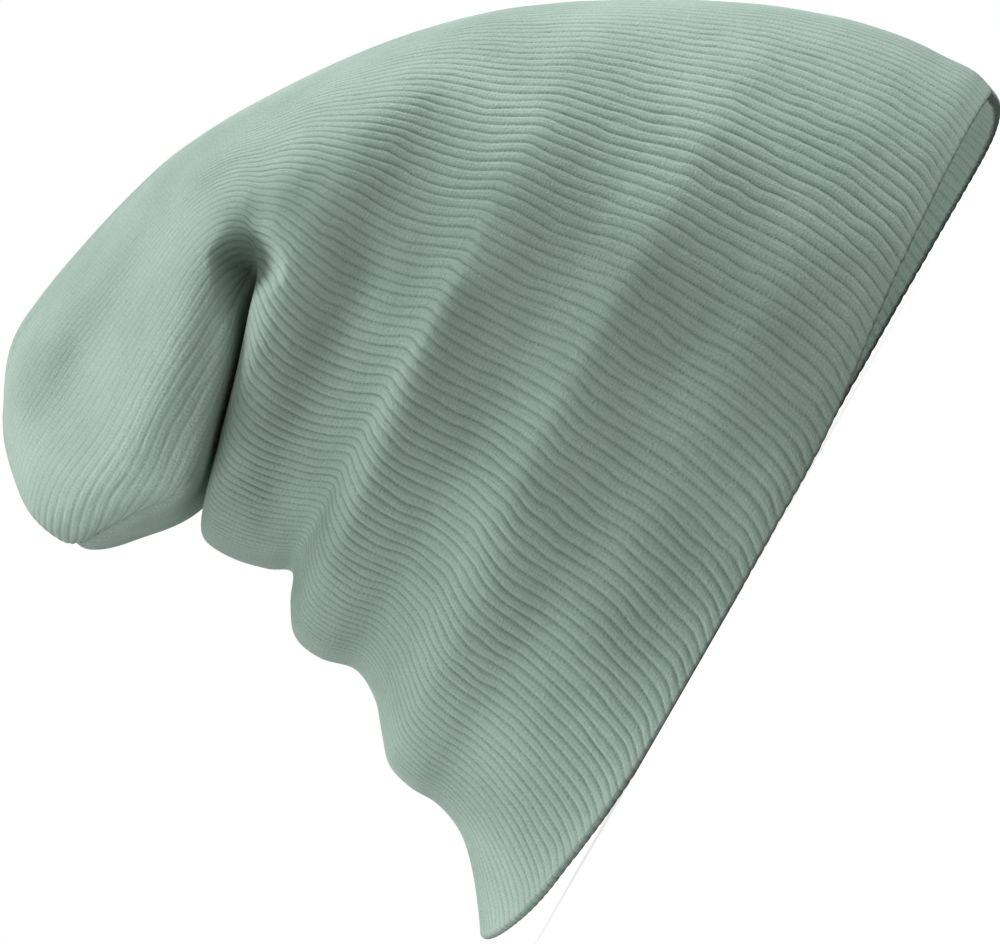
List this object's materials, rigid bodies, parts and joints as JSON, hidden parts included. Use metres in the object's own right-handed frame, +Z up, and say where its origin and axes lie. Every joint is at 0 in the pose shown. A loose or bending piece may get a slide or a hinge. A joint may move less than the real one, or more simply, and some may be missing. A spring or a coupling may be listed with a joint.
{
  "type": "knit cap",
  "caption": "Slouch knit cap in fine rib knit with a folded hem edge, its closed crown slumped over to the back, standing empty on its hem",
  "frame": {"origin": "bottom centre of the bounding box, on the surface the hem stands on", "axes": "+X towards the forehead, +Y to the side away from the picture, +Z up through the crown"},
  "size_m": [0.204, 0.151, 0.1547],
  "materials": {
    "rib_knit": "soft matte rib knit in pale sage green"
  },
  "bodies": {
    "root": {"knit_shell": "rib_knit"}
  },
  "joints": []
}
